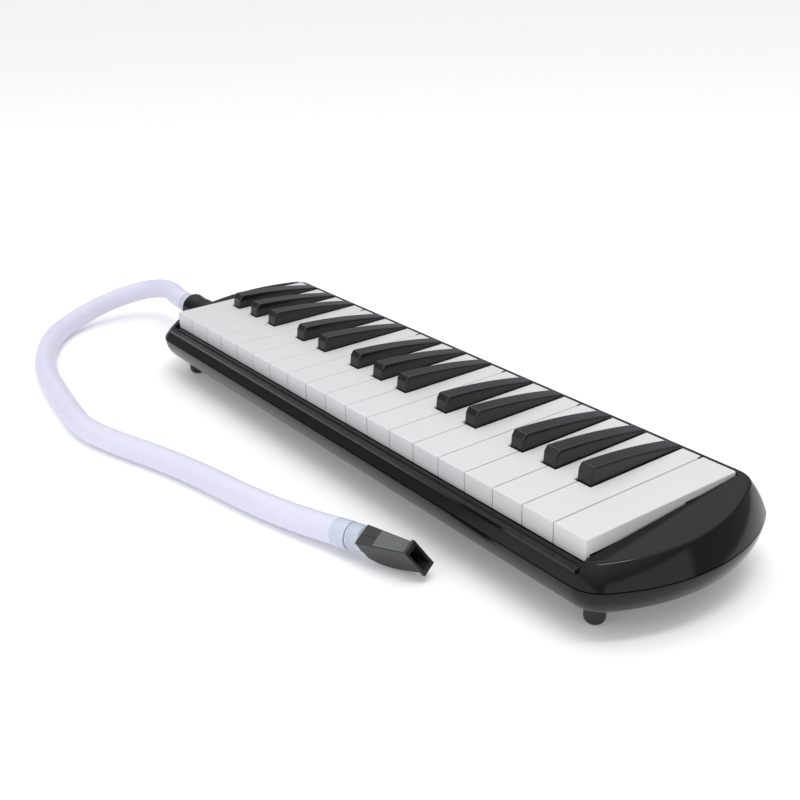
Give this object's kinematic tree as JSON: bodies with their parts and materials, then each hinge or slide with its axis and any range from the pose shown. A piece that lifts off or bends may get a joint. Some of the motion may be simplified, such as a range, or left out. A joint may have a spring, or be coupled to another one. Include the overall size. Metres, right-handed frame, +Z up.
{
  "type": "melodica",
  "caption": "Free-reed keyboard wind instrument with hinged keys in a two-shell case on peg feet, blown through a loose flexible hose with a mouthpiece.",
  "frame": {"origin": "middle of the case on the surface its four feet stand on", "axes": "+X up the keyboard to the treble end, +Y from the keys' front edges to the back of the case, +Z up"},
  "size_m": [0.556, 0.2074, 0.0533],
  "materials": {
    "case": "polished",
    "white_key": "polished",
    "black_key": "polished",
    "foot": "matte",
    "screw": "satin",
    "small_screw": "satin",
    "bed": "matte",
    "rod": "satin",
    "spring": "satin",
    "board": "matte",
    "reed_plate": "satin",
    "reed": "satin",
    "gasket": "matte",
    "felt": "matte",
    "connector": "polished",
    "clear_cuff": "clear",
    "hose": "satin",
    "mouthpiece": "polished",
    "grip": "matte",
    "drain": "satin"
  },
  "bodies": {
    "case": {"upper_case": "case", "lower_case": "case", "feet": "foot", "case_screws": "screw", "floor_screws": "screw", "key_bed": "bed", "pivot_rod": "rod", "key_springs": "spring", "valve_board": "board", "reed_plate_low": "reed_plate", "reed_plate_high": "reed_plate", "reeds_low": "reed", "reeds_high": "reed", "reed_screws": "small_screw", "chest_gasket": "gasket", "wind_chest": "board", "air_duct": "board", "front_felt": "felt", "inlet_socket": "case", "hose_connector": "connector", "inlet_cuff": "clear_cuff", "hose": "hose", "mouth_cuff": "clear_cuff", "mouthpiece": "mouthpiece", "mouth_grip": "grip", "drain_spring": "spring"},
    "key_f3": {"key_f3": "white_key"},
    "key_fs3": {"key_fs3": "black_key"},
    "key_g3": {"key_g3": "white_key"},
    "key_gs3": {"key_gs3": "black_key"},
    "key_a3": {"key_a3": "white_key"},
    "key_as3": {"key_as3": "black_key"},
    "key_b3": {"key_b3": "white_key"},
    "key_c4": {"key_c4": "white_key"},
    "key_cs4": {"key_cs4": "black_key"},
    "key_d4": {"key_d4": "white_key"},
    "key_ds4": {"key_ds4": "black_key"},
    "key_e4": {"key_e4": "white_key"},
    "key_f4": {"key_f4": "white_key"},
    "key_fs4": {"key_fs4": "black_key"},
    "key_g4": {"key_g4": "white_key"},
    "key_gs4": {"key_gs4": "black_key"},
    "key_a4": {"key_a4": "white_key"},
    "key_as4": {"key_as4": "black_key"},
    "key_b4": {"key_b4": "white_key"},
    "key_c5": {"key_c5": "white_key"},
    "key_cs5": {"key_cs5": "black_key"},
    "key_d5": {"key_d5": "white_key"},
    "key_ds5": {"key_ds5": "black_key"},
    "key_e5": {"key_e5": "white_key"},
    "key_f5": {"key_f5": "white_key"},
    "key_fs5": {"key_fs5": "black_key"},
    "key_g5": {"key_g5": "white_key"},
    "key_gs5": {"key_gs5": "black_key"},
    "key_a5": {"key_a5": "white_key"},
    "key_as5": {"key_as5": "black_key"},
    "key_b5": {"key_b5": "white_key"},
    "key_c6": {"key_c6": "white_key"},
    "drain": {"drain_button": "drain", "drain_seal": "gasket"}
  },
  "joints": [
    {"name": "key_f3_press", "type": "hinge", "parent": "case", "child": "key_f3", "pos_m": [-0.18429, 0.018, 0.037], "axis": [1, 0, 0], "range_deg": [0, 3.2], "stiffness_Nm_per_rad": 0.3, "springref_deg": -5.73, "deforming": ["key_springs"]},
    {"name": "key_fs3_press", "type": "hinge", "parent": "case", "child": "key_fs3", "pos_m": [-0.17286, 0.018, 0.037], "axis": [1, 0, 0], "range_deg": [0, 5], "stiffness_Nm_per_rad": 0.3, "springref_deg": -5.73, "deforming": ["key_springs"]},
    {"name": "key_g3_press", "type": "hinge", "parent": "case", "child": "key_g3", "pos_m": [-0.16143, 0.018, 0.037], "axis": [1, 0, 0], "range_deg": [0, 3.2], "stiffness_Nm_per_rad": 0.3, "springref_deg": -5.73, "deforming": ["key_springs"]},
    {"name": "key_gs3_press", "type": "hinge", "parent": "case", "child": "key_gs3", "pos_m": [-0.15, 0.018, 0.037], "axis": [1, 0, 0], "range_deg": [0, 5], "stiffness_Nm_per_rad": 0.3, "springref_deg": -5.73, "deforming": ["key_springs"]},
    {"name": "key_a3_press", "type": "hinge", "parent": "case", "child": "key_a3", "pos_m": [-0.13857, 0.018, 0.037], "axis": [1, 0, 0], "range_deg": [0, 3.2], "stiffness_Nm_per_rad": 0.3, "springref_deg": -5.73, "deforming": ["key_springs"]},
    {"name": "key_as3_press", "type": "hinge", "parent": "case", "child": "key_as3", "pos_m": [-0.12714, 0.018, 0.037], "axis": [1, 0, 0], "range_deg": [0, 5], "stiffness_Nm_per_rad": 0.3, "springref_deg": -5.73, "deforming": ["key_springs"]},
    {"name": "key_b3_press", "type": "hinge", "parent": "case", "child": "key_b3", "pos_m": [-0.11571, 0.018, 0.037], "axis": [1, 0, 0], "range_deg": [0, 3.2], "stiffness_Nm_per_rad": 0.3, "springref_deg": -5.73, "deforming": ["key_springs"]},
    {"name": "key_c4_press", "type": "hinge", "parent": "case", "child": "key_c4", "pos_m": [-0.104, 0.018, 0.037], "axis": [1, 0, 0], "range_deg": [0, 3.2], "stiffness_Nm_per_rad": 0.3, "springref_deg": -5.73, "deforming": ["key_springs"]},
    {"name": "key_cs4_press", "type": "hinge", "parent": "case", "child": "key_cs4", "pos_m": [-0.092, 0.018, 0.037], "axis": [1, 0, 0], "range_deg": [0, 5], "stiffness_Nm_per_rad": 0.3, "springref_deg": -5.73, "deforming": ["key_springs"]},
    {"name": "key_d4_press", "type": "hinge", "parent": "case", "child": "key_d4", "pos_m": [-0.08, 0.018, 0.037], "axis": [1, 0, 0], "range_deg": [0, 3.2], "stiffness_Nm_per_rad": 0.3, "springref_deg": -5.73, "deforming": ["key_springs"]},
    {"name": "key_ds4_press", "type": "hinge", "parent": "case", "child": "key_ds4", "pos_m": [-0.068, 0.018, 0.037], "axis": [1, 0, 0], "range_deg": [0, 5], "stiffness_Nm_per_rad": 0.3, "springref_deg": -5.73, "deforming": ["key_springs"]},
    {"name": "key_e4_press", "type": "hinge", "parent": "case", "child": "key_e4", "pos_m": [-0.056, 0.018, 0.037], "axis": [1, 0, 0], "range_deg": [0, 3.2], "stiffness_Nm_per_rad": 0.3, "springref_deg": -5.73, "deforming": ["key_springs"]},
    {"name": "key_f4_press", "type": "hinge", "parent": "case", "child": "key_f4", "pos_m": [-0.04429, 0.018, 0.037], "axis": [1, 0, 0], "range_deg": [0, 3.2], "stiffness_Nm_per_rad": 0.3, "springref_deg": -5.73, "deforming": ["key_springs"]},
    {"name": "key_fs4_press", "type": "hinge", "parent": "case", "child": "key_fs4", "pos_m": [-0.03286, 0.018, 0.037], "axis": [1, 0, 0], "range_deg": [0, 5], "stiffness_Nm_per_rad": 0.3, "springref_deg": -5.73, "deforming": ["key_springs"]},
    {"name": "key_g4_press", "type": "hinge", "parent": "case", "child": "key_g4", "pos_m": [-0.02143, 0.018, 0.037], "axis": [1, 0, 0], "range_deg": [0, 3.2], "stiffness_Nm_per_rad": 0.3, "springref_deg": -5.73, "deforming": ["key_springs"]},
    {"name": "key_gs4_press", "type": "hinge", "parent": "case", "child": "key_gs4", "pos_m": [-0.01, 0.018, 0.037], "axis": [1, 0, 0], "range_deg": [0, 5], "stiffness_Nm_per_rad": 0.3, "springref_deg": -5.73, "deforming": ["key_springs"]},
    {"name": "key_a4_press", "type": "hinge", "parent": "case", "child": "key_a4", "pos_m": [0.00143, 0.018, 0.037], "axis": [1, 0, 0], "range_deg": [0, 3.2], "stiffness_Nm_per_rad": 0.3, "springref_deg": -5.73, "deforming": ["key_springs"]},
    {"name": "key_as4_press", "type": "hinge", "parent": "case", "child": "key_as4", "pos_m": [0.01286, 0.018, 0.037], "axis": [1, 0, 0], "range_deg": [0, 5], "stiffness_Nm_per_rad": 0.3, "springref_deg": -5.73, "deforming": ["key_springs"]},
    {"name": "key_b4_press", "type": "hinge", "parent": "case", "child": "key_b4", "pos_m": [0.02429, 0.018, 0.037], "axis": [1, 0, 0], "range_deg": [0, 3.2], "stiffness_Nm_per_rad": 0.3, "springref_deg": -5.73, "deforming": ["key_springs"]},
    {"name": "key_c5_press", "type": "hinge", "parent": "case", "child": "key_c5", "pos_m": [0.036, 0.018, 0.037], "axis": [1, 0, 0], "range_deg": [0, 3.2], "stiffness_Nm_per_rad": 0.3, "springref_deg": -5.73, "deforming": ["key_springs"]},
    {"name": "key_cs5_press", "type": "hinge", "parent": "case", "child": "key_cs5", "pos_m": [0.048, 0.018, 0.037], "axis": [1, 0, 0], "range_deg": [0, 5], "stiffness_Nm_per_rad": 0.3, "springref_deg": -5.73, "deforming": ["key_springs"]},
    {"name": "key_d5_press", "type": "hinge", "parent": "case", "child": "key_d5", "pos_m": [0.06, 0.018, 0.037], "axis": [1, 0, 0], "range_deg": [0, 3.2], "stiffness_Nm_per_rad": 0.3, "springref_deg": -5.73, "deforming": ["key_springs"]},
    {"name": "key_ds5_press", "type": "hinge", "parent": "case", "child": "key_ds5", "pos_m": [0.072, 0.018, 0.037], "axis": [1, 0, 0], "range_deg": [0, 5], "stiffness_Nm_per_rad": 0.3, "springref_deg": -5.73, "deforming": ["key_springs"]},
    {"name": "key_e5_press", "type": "hinge", "parent": "case", "child": "key_e5", "pos_m": [0.084, 0.018, 0.037], "axis": [1, 0, 0], "range_deg": [0, 3.2], "stiffness_Nm_per_rad": 0.3, "springref_deg": -5.73, "deforming": ["key_springs"]},
    {"name": "key_f5_press", "type": "hinge", "parent": "case", "child": "key_f5", "pos_m": [0.09571, 0.018, 0.037], "axis": [1, 0, 0], "range_deg": [0, 3.2], "stiffness_Nm_per_rad": 0.3, "springref_deg": -5.73, "deforming": ["key_springs"]},
    {"name": "key_fs5_press", "type": "hinge", "parent": "case", "child": "key_fs5", "pos_m": [0.10714, 0.018, 0.037], "axis": [1, 0, 0], "range_deg": [0, 5], "stiffness_Nm_per_rad": 0.3, "springref_deg": -5.73, "deforming": ["key_springs"]},
    {"name": "key_g5_press", "type": "hinge", "parent": "case", "child": "key_g5", "pos_m": [0.11857, 0.018, 0.037], "axis": [1, 0, 0], "range_deg": [0, 3.2], "stiffness_Nm_per_rad": 0.3, "springref_deg": -5.73, "deforming": ["key_springs"]},
    {"name": "key_gs5_press", "type": "hinge", "parent": "case", "child": "key_gs5", "pos_m": [0.13, 0.018, 0.037], "axis": [1, 0, 0], "range_deg": [0, 5], "stiffness_Nm_per_rad": 0.3, "springref_deg": -5.73, "deforming": ["key_springs"]},
    {"name": "key_a5_press", "type": "hinge", "parent": "case", "child": "key_a5", "pos_m": [0.14143, 0.018, 0.037], "axis": [1, 0, 0], "range_deg": [0, 3.2], "stiffness_Nm_per_rad": 0.3, "springref_deg": -5.73, "deforming": ["key_springs"]},
    {"name": "key_as5_press", "type": "hinge", "parent": "case", "child": "key_as5", "pos_m": [0.15286, 0.018, 0.037], "axis": [1, 0, 0], "range_deg": [0, 5], "stiffness_Nm_per_rad": 0.3, "springref_deg": -5.73, "deforming": ["key_springs"]},
    {"name": "key_b5_press", "type": "hinge", "parent": "case", "child": "key_b5", "pos_m": [0.16429, 0.018, 0.037], "axis": [1, 0, 0], "range_deg": [0, 3.2], "stiffness_Nm_per_rad": 0.3, "springref_deg": -5.73, "deforming": ["key_springs"]},
    {"name": "key_c6_press", "type": "hinge", "parent": "case", "child": "key_c6", "pos_m": [0.176, 0.018, 0.037], "axis": [1, 0, 0], "range_deg": [0, 3.2], "stiffness_Nm_per_rad": 0.3, "springref_deg": -5.73, "deforming": ["key_springs"]},
    {"name": "drain_press", "type": "slide", "parent": "case", "child": "drain", "axis": [0, 0, 1], "range_m": [0, 0.0018], "stiffness_N_per_m": 300, "springref_m": -0.003, "deforming": ["drain_spring"]}
  ]
}
